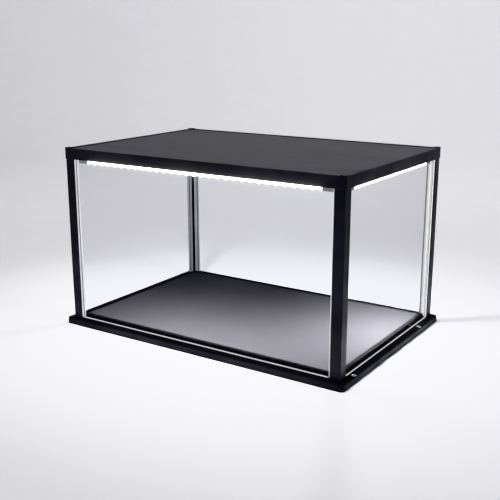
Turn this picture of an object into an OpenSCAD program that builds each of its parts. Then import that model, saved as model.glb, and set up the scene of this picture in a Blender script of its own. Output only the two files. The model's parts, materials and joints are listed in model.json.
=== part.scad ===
// Glass display box: a table-top case with a lit, lift-off lid.
// Millimetres, +Z up. The origin is the middle of the base's underside.
// The front is towards -Y and the right-hand side towards +X.

/* [Case] */
// Width of the lid over its rails
case_w = 600; // [450:1:900]
// Depth of the lid over its rails
case_d = 400; // [300:1:600]
// Height from the table to the top of the lid's rails
case_h = 352; // [200:1:600]
// How far the lid's rails stand out past the posts
lid_overhang = 1.5; // [0.5:0.1:3]

/* [Base] */
// Thickness of the base board
base_t = 13; // [10:0.5:24]
// How far the base board stands out past the posts
base_rim = 11.5; // [10:0.5:30]
// Corner radius of the base board in plan
base_corner_r = 8; // [5:0.5:20]
// Rounding of the base board's top edge
base_edge_r = 3; // [1:0.5:4.5]
// Thickness of the floor panel
floor_t = 5; // [2:0.5:8]
// Dark gap between the floor panel and the glazing beads' inner faces
floor_gap = 4; // [1:0.5:12]
// Corner radius of the floor panel in plan
floor_corner_r = 3; // [2:0.5:10]
// Rounding of the floor panel's top edge
floor_edge_r = 0.8; // [0.4:0.1:1.5]

/* [Screw eyelets] */
// Bore of an eyelet, for a 4 mm wood screw
eyelet_bore = 4.6; // [4:0.1:5]
// Outer diameter of an eyelet's barrel
eyelet_barrel = 6; // [5.6:0.1:7]
// Diameter of an eyelet's flange
eyelet_flange = 9; // [8:0.5:10]
// Thickness of an eyelet's flange
eyelet_flange_t = 1.4; // [1:0.1:2]
// Depth of the seat that is cut for the flange
eyelet_seat = 1; // [0.5:0.1:1.5]
// Height of an eyelet's lower end above the table
eyelet_foot = 0.5; // [0.3:0.1:2]
// Distance from the posts' front faces to the front pair of eyelets
eyelet_front = 37.5; // [25:0.5:90]
// Distance from the posts' back faces to the back pair of eyelets
eyelet_back = 77.5; // [25:0.5:120]

/* [Posts] */
// Width of each leg of a post's angle
post_leg = 19.5; // [15:0.5:30]
// Thickness of a post's angle
post_t = 1.5; // [1:0.1:3]
// Radius of a post's outer edge
post_edge_r = 0.8; // [0.3:0.1:0.9]
// Side of the square bar inside each post
core_w = 8; // [7.5:0.5:10]
// Diameter of the screw that holds a bar to the base
post_screw_d = 4; // [3:0.5:5]
// Length of that screw above its head
post_screw_len = 26; // [20:1:40]
// Diameter of that screw's head
post_screw_head = 8; // [7:0.5:10]
// Height of that screw's head
post_screw_head_h = 3.2; // [2:0.2:5]
// Depth of the head's seat in the base's underside
post_screw_seat = 4.2; // [4:0.2:6]

/* [Glass] */
// Thickness of the panes
glass_t = 4; // [3:0.5:6]
// Gap between a pane's end and the bar of its post
pane_gap = 0.5; // [0.3:0.1:2]
// Gap between the panes' top edges and the lid
pane_top_gap = 0.5; // [0.3:0.1:2]
// Thickness of the glazing tape between a post and its panes
tape_t = 0.5; // [0.3:0.1:1]
// Width of a glazing bead, along its pane
bead_w = 12; // [6:0.5:14]
// Thickness of a glazing bead
bead_t = 3; // [2:0.5:6]
// How far the beads stay away from the corner that they face
bead_spread = 2.5; // [1:0.5:5]
// Height of a pane seal above the base
seal_h = 3.5; // [2.5:0.5:8]
// Thickness of a pane seal under the glass
seal_web = 1; // [0.6:0.1:1.5]
// Thickness of a pane seal's outer lip
seal_lip_out = 0.8; // [0.5:0.1:1.5]
// Thickness of a pane seal's inner lip
seal_lip_in = 1.2; // [0.5:0.1:2]

/* [Lid] */
// Height of the lid's rails
rail_h = 21; // [18:0.5:40]
// How far the rails reach inwards past the light bars
rail_lip = 0.5; // [0.2:0.1:8]
// Wall of the hollow rails
rail_wall = 2; // [1.2:0.1:3]
// Radius of the rails' outer edges
rail_edge_r = 1.5; // [0.5:0.1:2]
// Corner radius of the lid in plan
lid_corner_r = 3; // [1:0.5:6]
// Width of the black rim round the top panel
rim_w = 9; // [6:0.5:15]
// Thickness of the top panel
panel_t = 3; // [2:0.5:4]
// How far the top panel lies below the rim
panel_drop = 1; // [0.5:0.1:2]
// Side of a corner cap
cap_w = 12; // [10:0.5:18]
// How far a corner cap stands above the rim
cap_proud = 1; // [0.5:0.1:2]
// Length of a corner key's legs
key_leg = 60; // [40:1:80]
// Diameter of the pins that locate the lid on the posts
pin_d = 4.6; // [4:0.1:5]
// Depth of those pins below the lid
pin_len = 12; // [8:1:20]
// Length of the taper at a pin's tip, which narrows the pin as much
pin_tip = 2; // [1:0.5:2.5]
// Thickness of a corner key above its pin
key_roof = 2; // [1:0.5:4]
// Free depth of a bore past the end of its pin or screw
bore_end = 2; // [1:0.5:4]

/* [Lights] */
// Width of a light bar's diffuser
diffuser_w = 10; // [8:0.5:10]
// Height of a light bar's diffuser
diffuser_h = 8; // [4:0.5:12]
// Gap between a light bar and the glazing beads beside it
bar_gap = 1; // [0.5:0.1:3]
// Wall of a diffuser
diffuser_wall = 1; // [0.6:0.1:1.2]
// Thickness of the plug at each end of a diffuser
end_cap_t = 1.5; // [1:0.1:3]
// Thickness of the LED tape
led_tape_t = 0.4; // [0.2:0.1:0.6]
// Side of an LED chip
chip_w = 5; // [3:0.1:5]
// Height of an LED chip
chip_h = 1.6; // [0.8:0.1:1.8]
// Distance from one LED chip to the next, on tape with 60 to the metre
chip_pitch = 16.667; // [8:0.001:34]
// Least length of tape without chips at each end of a bar
dark_end = 20; // [10:1:60]
// Diameter of the leads between the inlet and the bars
lead_d = 2.5; // [2:0.1:3]
// Least radius of the leads' bends at the lid's corners
lead_bend = 6; // [5:0.5:8]
// Radius of the bend where the inlet's lead turns along the rail
lead_drop_r = 4; // [3:0.5:6]
// Number of clips that hold that lead
clip_count = 2; // [1:1:4]
// Length of a clip
clip_len = 6; // [4:0.5:12]
// Wall of a clip
clip_wall = 1; // [0.6:0.1:2]
// Distance from the lid's right end to the power inlet
inlet_from_end = 100; // [90:1:200]
// Diameter of the power inlet's body
inlet_d = 8; // [7:0.5:9]
// Diameter of the power inlet's flange
inlet_flange = 11; // [10:0.5:13]
// Thickness of the power inlet's flange
inlet_flange_t = 1.2; // [0.8:0.1:2]
// Height of the block at the power inlet's inner end
inlet_block_h = 8; // [6:0.5:9]
// Diameter of the power inlet's socket
inlet_socket = 5.5; // [5:0.1:6]
// Diameter of the power inlet's centre pin
inlet_pin = 2; // [1.5:0.1:2.5]

/* [Hidden] */
// Free space left round parts that slide together
clear = 0.2;
// Free space left round holes for pins, screws and leads
hole_clear = 0.4;
// How far a cut runs past the faces that it opens
cut = 1;
$fn = 48;

// Half sizes over the posts' outer faces
post_x = case_w / 2 - lid_overhang;
post_y = case_d / 2 - lid_overhang;
// Height of the lid's underside, where the posts end
rail_z = case_h - rail_h;

// Distances inwards from the posts' outer faces
core_end = post_t + core_w;
core_mid = post_t + core_w / 2;
pane_out = post_t + tape_t;
pane_in = pane_out + glass_t;
pane_end = core_end + pane_gap;
bead_in = pane_in + bead_t;
bead_start = max(bead_in, core_end) + bead_spread;
bead_end = bead_start + bead_w;
seal_end = max(post_leg, bead_end) + clear;
floor_inset = pane_in + max(seal_lip_in, bead_t) + floor_gap;

// Heights inside the lid's rails, above the lid's underside
ledge_h = rail_h - panel_drop - panel_t;
// Distance from the lid's outer faces to the middle of a light bar, and to its ends
bar_mid = lid_overhang + bead_in + bar_gap + diffuser_w / 2;
bar_end = max(bar_mid + lead_bend, lid_overhang + bead_end + bar_gap);
bar_bend = bar_end - bar_mid;
// Width of the lid's rails in plan
rail_w = bar_mid + diffuser_w / 2 + rail_lip;
// Place of the lid's pins, in from the lid's outer faces
pin_at = lid_overhang + core_mid;
// Faces of the corner keys, in from the rails' outer faces
key_near = rail_wall + clear;
key_w = rail_w - 2 * key_near;
key_h = ledge_h - 2 * key_near;
// Place of the power inlet, and the side of the block behind it
inlet_x = case_w / 2 - inlet_from_end;
inlet_h = ledge_h / 2;
inlet_block = 2 * (rail_w - rail_wall - clear - bar_mid);
// Height of the leads' middle line, and where the inlet's lead starts and ends its run along the rail
lead_z = -diffuser_h / 2;
run_start = inlet_x + lead_drop_r;
run_end = case_w / 2 - bar_end;

eyelet_x = post_x + base_rim / 2;
eyelet_places = [for (x = [-eyelet_x, eyelet_x], y = [eyelet_front - post_y, post_y - eyelet_back]) [x, y]];

BLACK = [0.05, 0.05, 0.055];
GREY = [0.33, 0.33, 0.34];
STEEL = [0.78, 0.78, 0.8];
FROST = [0.75, 0.76, 0.78];
WHITE = [0.9, 0.9, 0.9];
CLEAR_GLASS = [0.8, 0.88, 0.88, 0.3];
LIGHT = [1, 1, 0.97];

SIDES = ["front", "right", "back", "left"];
CORNERS = ["fl", "fr", "bl", "br"];

// Length of the lid along a side, and half its size across that side
function side_len(k) = k % 2 == 0 ? case_w : case_d;
function side_half(k) = k % 2 == 0 ? case_d / 2 : case_w / 2;

// Puts a piece drawn for the front, with y inwards from the lid's outer face, on side k
module on_side(k) {
    rotate([0, 0, 90 * k]) translate([0, -side_half(k), 0]) children();
}

// Puts a piece drawn with x and y inwards from an outer corner at corner k
module at_corner(k, x, y) {
    sx = k % 2 == 0 ? 0 : 1;
    sy = k < 2 ? 0 : 1;
    translate([sx == 0 ? -x : x, sy == 0 ? -y : y, 0])
        mirror([sx, 0, 0]) mirror([0, sy, 0]) children();
}
module at_post(k) {
    at_corner(k, post_x, post_y) children();
}
module at_lid_corner(k) {
    translate([0, 0, rail_z]) at_corner(k, case_w / 2, case_d / 2) children();
}

// A section drawn with x inwards and y up, run along X with its middle at x = 0
module along(len) {
    translate([-len / 2, 0, 0]) rotate([90, 0, 90]) linear_extrude(len) children();
}

// Quarter of the rim of a plate: a corner of radius r with its top edge rounded
module plate_edge(r, t, edge_r) {
    square([r - edge_r, t]);
    square([r, t - edge_r]);
    translate([r - edge_r, t - edge_r]) intersection() {
        circle(edge_r);
        square(edge_r);
    }
}

// Plate with rounded corners and a rounded top edge, lying on z = 0
module soft_plate(w, d, t, r, edge_r) {
    in_x = w / 2 - r;
    in_y = d / 2 - r;
    translate([-in_x, -in_y, 0]) cube([2 * in_x, 2 * in_y, t]);
    for (k = [0:3]) {
        len = k % 2 == 0 ? 2 * in_x : 2 * in_y;
        out = k % 2 == 0 ? in_y : in_x;
        rotate([0, 0, 90 * k]) translate([0, out, 0]) along(len) plate_edge(r, t, edge_r);
    }
    for (k = [0:3])
        at_corner(k, in_x, in_y) rotate([0, 0, 180]) rotate_extrude(angle = 90) plate_edge(r, t, edge_r);
}

// Rectangle with rounded corners, about the origin
module round_rect(w, d, r) {
    square([w - 2 * r, d], center = true);
    square([w, d - 2 * r], center = true);
    for (x = [-1, 1], y = [-1, 1])
        translate([x * (w / 2 - r), y * (d / 2 - r)]) circle(r);
}

// Base board with its screw holes
module base_board() {
    color(BLACK) difference() {
        soft_plate(2 * (post_x + base_rim), 2 * (post_y + base_rim), base_t, base_corner_r, base_edge_r);
        for (p = eyelet_places) translate(p) {
            translate([0, 0, -cut]) cylinder(d = eyelet_barrel + hole_clear, h = base_t + 2 * cut);
            translate([0, 0, base_t - eyelet_seat]) cylinder(d = eyelet_flange + hole_clear, h = base_t);
        }
        for (k = [0:3]) at_post(k) translate([core_mid, core_mid, -cut]) {
            cylinder(d = post_screw_d + hole_clear, h = base_t + 2 * cut);
            cylinder(d = post_screw_head + hole_clear, h = post_screw_seat + cut);
        }
    }
}

// Grey panel that the displayed things stand on
module floor_panel() {
    color(GREY) translate([0, 0, base_t])
        soft_plate(2 * (post_x - floor_inset), 2 * (post_y - floor_inset), floor_t, floor_corner_r, floor_edge_r);
}

// Metal eyelets that line the screw holes in the base's rim
module screw_eyelets() {
    color(STEEL) for (p = eyelet_places) translate(p) difference() {
        union() {
            translate([0, 0, eyelet_foot]) cylinder(d = eyelet_barrel, h = base_t - eyelet_seat - eyelet_foot);
            translate([0, 0, base_t - eyelet_seat]) cylinder(d = eyelet_flange, h = eyelet_flange_t);
        }
        cylinder(d = eyelet_bore, h = base_t + eyelet_flange_t);
    }
}

// Screws from below, each into the bar of a post, with a six-sided recess as wide as the shank
module post_screws() {
    color(STEEL) for (k = [0:3]) at_post(k) translate([core_mid, core_mid, post_screw_seat]) {
        cylinder(d = post_screw_d, h = post_screw_len);
        translate([0, 0, -post_screw_head_h]) difference() {
            cylinder(d = post_screw_head, h = post_screw_head_h);
            translate([0, 0, -cut]) cylinder(d = post_screw_d, h = post_screw_head_h / 2 + cut, $fn = 6);
        }
    }
}

// Black angle at a corner, from the base to the lid
module post(k) {
    color(BLACK) at_post(k) translate([0, 0, base_t]) linear_extrude(rail_z - base_t) difference() {
        square(post_leg);
        translate([post_t, post_t]) square(post_leg);
        difference() {
            square(post_edge_r);
            translate([post_edge_r, post_edge_r]) circle(post_edge_r);
        }
    }
}

// Square bar in a post, drilled for its screw below and for the lid's pin above
module post_bar(k) {
    bar_h = rail_z - base_t;
    screw_reach = post_screw_len - (base_t - post_screw_seat);
    color(BLACK) at_post(k) translate([post_t, post_t, base_t]) difference() {
        cube([core_w, core_w, bar_h]);
        translate([core_w / 2, core_w / 2, 0]) {
            translate([0, 0, -cut]) cylinder(d = post_screw_d + clear, h = cut + screw_reach + bore_end);
            translate([0, 0, bar_h - pin_len - bore_end])
                cylinder(d = pin_d + 2 * hole_clear, h = pin_len + bore_end + cut);
        }
    }
}

// Glass pane of a side, from its seal to just under the lid
module glass(k) {
    len = side_len(k) - 2 * (lid_overhang + pane_end);
    color(CLEAR_GLASS) on_side(k) translate([-len / 2, lid_overhang + pane_out, base_t + seal_web])
        cube([len, glass_t, rail_z - pane_top_gap - base_t - seal_web]);
}

// Channel under a pane, between the beads of its posts
module pane_seal(k) {
    len = side_len(k) - 2 * (lid_overhang + seal_end);
    color(FROST) on_side(k) translate([0, lid_overhang + pane_out, base_t]) along(len) {
        translate([-seal_lip_out, 0]) square([seal_lip_out, seal_h]);
        square([glass_t, seal_web]);
        translate([glass_t, 0]) square([seal_lip_in, seal_h]);
    }
}

// Bead on the inner side of a pane that runs along X, beside a post
module bead_x(k) {
    color(FROST) at_post(k) translate([bead_start, pane_in, base_t])
        cube([bead_w, bead_t, rail_z - pane_top_gap - base_t]);
}

// Bead on the inner side of a pane that runs along Y, beside a post
module bead_y(k) {
    color(FROST) at_post(k) translate([pane_in, bead_start, base_t])
        cube([bead_t, bead_w, rail_z - pane_top_gap - base_t]);
}

// Tapes that bed the panes on the posts, two to a post
module glazing_tapes() {
    tape_h = rail_z - pane_top_gap - base_t - seal_web;
    tape_w = post_leg - pane_end;
    color(FROST) for (k = [0:3]) at_post(k) translate([0, 0, base_t + seal_web]) {
        translate([pane_end, post_t, 0]) cube([tape_w, tape_t, tape_h]);
        translate([post_t, pane_end, 0]) cube([tape_t, tape_w, tape_h]);
    }
}

// Section of a lid rail, with its ledge for the panel and its hollow
module rail_section() {
    difference() {
        union() {
            translate([rail_edge_r, 0]) square([rail_w - rail_edge_r, ledge_h]);
            translate([rail_edge_r, 0]) square([rim_w - rail_edge_r, rail_h]);
            translate([0, rail_edge_r]) square([rail_edge_r, rail_h - 2 * rail_edge_r]);
            for (y = [rail_edge_r, rail_h - rail_edge_r]) translate([rail_edge_r, y]) circle(rail_edge_r);
        }
        translate([rail_wall, rail_wall]) square([rail_w - 2 * rail_wall, ledge_h - 2 * rail_wall]);
    }
}

// Outline of the lid in plan
module lid_outline() {
    round_rect(case_w, case_d, lid_corner_r);
}

// Rail of the lid, mitred at both ends
module lid_rail(k) {
    len = side_len(k);
    color(BLACK) difference() {
        intersection() {
            translate([0, 0, rail_z]) on_side(k) along(len) rail_section();
            translate([0, 0, rail_z - cut]) linear_extrude(rail_h + 2 * cut) on_side(k)
                polygon([[-len / 2, 0], [len / 2, 0], [len / 2 - rail_w, rail_w], [rail_w - len / 2, rail_w]]);
            translate([0, 0, rail_z - cut]) linear_extrude(rail_h + 2 * cut) lid_outline();
        }
        for (c = [0:3]) at_lid_corner(c) {
            translate([-cut, -cut, rail_h - panel_drop])
                cube([cut + cap_w + clear, cut + cap_w + clear, panel_drop + cut]);
            translate([pin_at, pin_at, -cut]) cylinder(d = pin_d + hole_clear, h = rail_wall + 2 * cut);
        }
        if (k == 2) inlet_cuts();
    }
}

// Holes in the back rail for the inlet, and for its lead
module inlet_cuts() {
    translate([inlet_x, case_d / 2, rail_z]) {
        translate([0, -rail_wall - cut, inlet_h]) rotate([-90, 0, 0])
            cylinder(d = inlet_d + clear, h = rail_wall + 2 * cut);
        translate([0, -bar_mid, -cut]) cylinder(d = lead_d + 2 * hole_clear, h = rail_wall + 2 * cut);
    }
}

// Block inside the hollow rails that joins two of them at a corner
module lid_key(k) {
    color(STEEL) at_lid_corner(k) translate([0, 0, key_near]) difference() {
        union() {
            translate([key_near, key_near, 0]) cube([key_leg, key_w, key_h]);
            translate([key_near, key_near, 0]) cube([key_w, key_leg, key_h]);
        }
        translate([pin_at, pin_at, -cut]) cylinder(d = pin_d + clear, h = cut + key_h - key_roof);
    }
}

// Square cap over the mitre at a corner of the lid
module lid_cap(k) {
    color(BLACK) intersection() {
        at_lid_corner(k) translate([0, 0, rail_h - panel_drop]) cube([cap_w, cap_w, panel_drop + cap_proud]);
        translate([0, 0, rail_z]) linear_extrude(rail_h + cap_proud + cut) lid_outline();
    }
}

// Grey top panel, lying on the rails' ledges
module lid_panel() {
    inset = rim_w + clear;
    color(GREY) translate([inset - case_w / 2, inset - case_d / 2, rail_z + ledge_h])
        cube([case_w - 2 * inset, case_d - 2 * inset, panel_t]);
}

// Pins held by the corner keys, which drop into the posts' bars
module lid_pins() {
    pin_top = key_near + key_h - key_roof - clear;
    color(STEEL) for (k = [0:3]) at_lid_corner(k) translate([pin_at, pin_at, -pin_len]) {
        cylinder(d1 = pin_d - pin_tip, d2 = pin_d, h = pin_tip);
        translate([0, 0, pin_tip]) cylinder(d = pin_d, h = pin_len + pin_top - pin_tip);
    }
}

// Length of a light bar over its end plugs, and the places of its chips along it
function bar_len(k) = side_len(k) - 2 * bar_end;
function chip_count(k) = floor((bar_len(k) - 2 * (end_cap_t + dark_end)) / chip_pitch) + 1;
function chip_at(k, i) = (i - (chip_count(k) - 1) / 2) * chip_pitch;

// Puts a piece drawn about a light bar's middle line under the rail of side k
module under_rail(k) {
    translate([0, 0, rail_z]) on_side(k) translate([0, bar_mid, 0]) children();
}

// LED tape under a rail
module led_tape(k) {
    tape_len = bar_len(k) - 2 * (end_cap_t + clear);
    tape_w = diffuser_w - 2 * (diffuser_wall + clear);
    color(WHITE) under_rail(k)
        translate([-tape_len / 2, -tape_w / 2, -led_tape_t]) cube([tape_len, tape_w, led_tape_t]);
}

// LED chips on the tape of a bar
module led_chips(k) {
    color(LIGHT) under_rail(k) for (i = [0:chip_count(k) - 1])
        translate([chip_at(k, i) - chip_w / 2, -chip_w / 2, -led_tape_t - chip_h]) cube([chip_w, chip_w, chip_h]);
}

// Frosted channel over the tape of a bar
module diffuser(k) {
    len = bar_len(k) - 2 * end_cap_t;
    inner_w = diffuser_w - 2 * diffuser_wall;
    color(FROST) under_rail(k) translate([0, -diffuser_w / 2, -diffuser_h]) along(len) difference() {
        square([diffuser_w, diffuser_h]);
        translate([diffuser_wall, diffuser_wall]) square([inner_w, diffuser_h]);
    }
}

// Plugs at the ends of both diffusers
module diffuser_ends() {
    color(GREY) for (k = [0, 1], s = [-1, 1]) under_rail(k)
        translate([s * (bar_len(k) - end_cap_t) / 2, 0, -diffuser_h / 2])
            cube([end_cap_t, diffuser_w, diffuser_h], center = true);
}

// Power inlet through the back rail's outer wall
module power_inlet() {
    body_len = bar_mid - inlet_block / 2;
    color(BLACK) translate([inlet_x, case_d / 2, rail_z + inlet_h]) {
        rotate([90, 0, 0]) difference() {
            union() {
                translate([0, 0, -inlet_flange_t]) cylinder(d = inlet_flange, h = inlet_flange_t);
                cylinder(d = inlet_d, h = body_len);
            }
            difference() {
                translate([0, 0, -inlet_flange_t - cut]) cylinder(d = inlet_socket, h = body_len);
                translate([0, 0, -inlet_flange_t]) cylinder(d = inlet_pin, h = body_len);
            }
        }
        translate([-inlet_block / 2, -body_len - inlet_block, -inlet_block_h / 2])
            cube([inlet_block, inlet_block, inlet_block_h]);
    }
}

// Lead from the inlet, down through the back rail and along it to the right-hand bar
module lead_inlet() {
    drop_z = lead_z + lead_drop_r;
    color(GREY) translate([0, case_d / 2 - bar_mid, rail_z]) {
        translate([inlet_x, 0, drop_z]) cylinder(d = lead_d, h = inlet_h - inlet_block_h / 2 - drop_z);
        translate([run_start, 0, drop_z]) rotate([90, 0, 0]) rotate([0, 0, 180])
            rotate_extrude(angle = 90) translate([lead_drop_r, 0]) circle(d = lead_d);
        translate([run_start, 0, lead_z]) rotate([0, 90, 0]) cylinder(d = lead_d, h = run_end - run_start);
        translate([run_end, -bar_bend, lead_z]) rotate_extrude(angle = 90)
            translate([bar_bend, 0]) circle(d = lead_d);
    }
}

// Lead round the front right corner, from one bar to the other
module lead_link() {
    color(GREY) translate([case_w / 2 - bar_end, bar_end - case_d / 2, rail_z + lead_z])
        rotate([0, 0, -90]) rotate_extrude(angle = 90) translate([bar_bend, 0]) circle(d = lead_d);
}

// Clips that hold the lead under the back rail
module lead_clips() {
    slot = lead_d + clear;
    clip_w = slot + 2 * clip_wall;
    clip_h = slot / 2 - lead_z + clip_wall;
    clip_step = (run_end - run_start) / (clip_count + 1);
    color(BLACK) for (i = [1:clip_count])
        translate([run_start + i * clip_step, case_d / 2 - bar_mid - clip_w / 2, rail_z - clip_h])
            along(clip_len) difference() {
                square([clip_w, clip_h]);
                translate([clip_wall, clip_wall]) square([slot, clip_h]);
            }
}

base_board();
floor_panel();
screw_eyelets();
post_screws();
for (k = [0:3]) {
    post(k);
    post_bar(k);
    glass(k);
    pane_seal(k);
    bead_x(k);
    bead_y(k);
    lid_rail(k);
    lid_key(k);
    lid_cap(k);
}
glazing_tapes();
lid_panel();
lid_pins();
for (k = [0, 1]) {
    led_tape(k);
    led_chips(k);
    diffuser(k);
}
diffuser_ends();
power_inlet();
lead_inlet();
lead_link();
lead_clips();
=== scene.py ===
"""Glass display box: bevelled pieces, finishes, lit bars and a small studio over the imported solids."""

import json
import math

import bmesh
import bpy
from mathutils import Matrix, Vector

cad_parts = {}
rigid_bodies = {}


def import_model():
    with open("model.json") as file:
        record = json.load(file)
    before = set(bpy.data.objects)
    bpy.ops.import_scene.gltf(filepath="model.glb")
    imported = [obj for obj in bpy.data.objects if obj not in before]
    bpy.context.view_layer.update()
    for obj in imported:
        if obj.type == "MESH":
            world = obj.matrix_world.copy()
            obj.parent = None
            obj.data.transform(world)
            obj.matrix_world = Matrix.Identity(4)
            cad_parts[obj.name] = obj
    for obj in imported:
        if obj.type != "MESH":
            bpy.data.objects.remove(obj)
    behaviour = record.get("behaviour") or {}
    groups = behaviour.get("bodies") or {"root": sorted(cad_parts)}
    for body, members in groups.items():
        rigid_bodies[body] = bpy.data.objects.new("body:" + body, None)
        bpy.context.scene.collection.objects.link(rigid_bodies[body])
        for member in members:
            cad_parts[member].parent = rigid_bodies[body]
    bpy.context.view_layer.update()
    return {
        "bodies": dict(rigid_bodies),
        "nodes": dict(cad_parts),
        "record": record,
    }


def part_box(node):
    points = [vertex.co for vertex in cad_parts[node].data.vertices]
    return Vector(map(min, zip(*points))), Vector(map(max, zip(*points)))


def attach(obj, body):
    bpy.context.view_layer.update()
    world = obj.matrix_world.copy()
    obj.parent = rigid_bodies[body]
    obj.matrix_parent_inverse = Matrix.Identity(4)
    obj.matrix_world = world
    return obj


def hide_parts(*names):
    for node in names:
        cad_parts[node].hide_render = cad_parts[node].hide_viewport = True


bl_info = {
    "name": "Glass Display Box",
    "version": (1, 0, 0),
    "blender": (4, 5, 0),
    "location": "View3D > Sidebar > Display Box",
    "description": "Models and finishes a lit glass display box over its packed solids",
    "category": "Object",
}

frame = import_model()

QUARTER = math.pi / 2
CORNERS = {"fl": (-1, -1, 0), "fr": (1, -1, 1), "br": (1, 1, 2), "bl": (-1, 1, 3)}  # x sign, y sign, quarter turns
PAIRS = ((0, "front", "back"), (1, "right", "left"))  # quarter turns of the first side, then its opposite

# Limits for picking edges and faces, and for cleaning a mesh.
NEAR = 1e-5  # two places closer than this are the same place
ALONG = 0.9  # a direction with more than this share of an axis runs along it
ACROSS = 0.1  # a direction with less than this share of an axis runs across it
MERGE = 1e-6  # points closer than this become one
FLAT = math.radians(0.2)  # faces that meet at less than this are one flat
SMOOTH = math.radians(32)  # edges sharper than this stay sharp

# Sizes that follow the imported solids, in metres.
OVERLAP = 0.01  # how far a cutting shape reaches past what it cuts
SEAT_DEPTH = 0.001  # depth of an eyelet flange's seat in the base board
SCREW_HEAD = 0.004  # radius of a post screw's head
SCREW_HEAD_DEPTH = 0.0042  # depth of its hole in the base board
SCREW_HOLE = 0.0022  # radius of the hole for a post screw's shank
PIN = 0.0023  # radius of a lid pin
PIN_HOLE = 0.0025  # radius of its hole in a rail
PIN_HOLE_PAST = 0.001  # how far that hole reaches past the rail's wall
PLUG = 0.0015  # thickness of a diffuser's end plug
FADE_START = 0.006  # a bar starts to fade this far before the end of its chips
FADE = 0.007  # length of that fade
SOCKET_DEPTH = 0.012  # how far the inlet's barrel reaches into the rail
SOCKET_BACK = 0.0015  # thickness of the wall at the back of the socket
SOCKET_PIN_TIP = 0.0012  # how far behind the rail's face the socket's pin ends
SOCKET_PLAY = 0.0001  # play of the inlet's barrel in the rail
MOUTH = ((0.0007, 0.0001), (0.0002, 0.0006), (0.0, 0.0013))  # an eyelet's mouth: out from the bore, down from the top

# Light of the bars, by side: the axis along the bar, the share of its light that spills on the table, and the share,
# length, shift along the bar and drop below it of the pool of light on the floor panel.
BAR_LIGHT = {
    "front": {"along": 0, "spill": 1.0, "pool": 1.0, "pool_long": 0.40, "shift": 0.03, "drop": 0.0},
    "right": {"along": 1, "spill": 0.3, "pool": 2.4, "pool_long": 0.14, "shift": 0.045, "drop": 0.072},
}
BAR_LAMP_WIDE = 0.008
BAR_LAMP_GAP = 0.0006  # between a diffuser and the lamps under it
BAR_SPREAD = math.radians(112)
# Light that leaves through the panes: name, x, y and share of the power.
INNER_LIGHT = (("right", 0.158, 0.075, 1.0), ("left", -0.200, -0.020, 0.45))
INNER_LAMP_SIDE = 0.04
INNER_LAMP_GAP = 0.004
INNER_SPREAD = math.radians(142)
# Studio lamps: name, place, target, width and depth.
STUDIO_LIGHT = (
    ("key", (2.3, -0.3, 1.7), (0, 0, 0.2), 1.4, 1.2),
    ("top", (-0.2, 0.5, 2.9), (0, 0.3, 0), 2.6, 2.6),
    ("wash", (-0.3, 1.5, 2.6), (-1.2, 3.2, 0.9), 1.2, 0.8),
    ("fill", (-0.6, -2.2, 1.8), (0, 0, 0.2), 1.6, 1.2),
)
SURROUND = (0.97, 0.975, 1.0)  # colour of the even light from all round
SWEEP_FLAT, SWEEP_BEND, SWEEP_TOP = 2.4, 1.2, 3.4  # radius of the flat floor, radius of its bend, height of the wall
SWEEP_STEPS = 12  # steps of the bend
SWEEP_SMOOTH = math.radians(40)
MIRRORED = 0.2  # share of the paper's brightness that is left in a pane's mirror image
BLOOM = {"Threshold": 6.0, "Strength": 0.35, "Size": 0.05}
SENSOR, FAR_CLIP = 36.0, 20.0  # camera sensor in millimetres, farthest distance in metres


# ---------------------------------------------------------------- settings


def length(name, description, metres):
    """A length setting, shown in the scene's units."""
    return bpy.props.FloatProperty(
        name=name, description=description, default=metres, min=0.0, unit="LENGTH", subtype="DISTANCE", precision=4
    )


def colour(name, description, rgb):
    """A colour setting."""
    return bpy.props.FloatVectorProperty(
        name=name, description=description, default=rgb, size=3, min=0.0, max=1.0, subtype="COLOR"
    )


def angle(name, description, degrees):
    """An angle setting."""
    return bpy.props.FloatProperty(
        name=name, description=description, default=math.radians(degrees), subtype="ANGLE", unit="ROTATION"
    )


def power(name, description, watts):
    """A lamp's power setting."""
    return bpy.props.FloatProperty(name=name, description=description, default=watts, min=0.0, unit="POWER")


def number(name, description, value, least=0.0):
    """A setting that is a plain number."""
    return bpy.props.FloatProperty(name=name, description=description, default=value, min=least)


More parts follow.
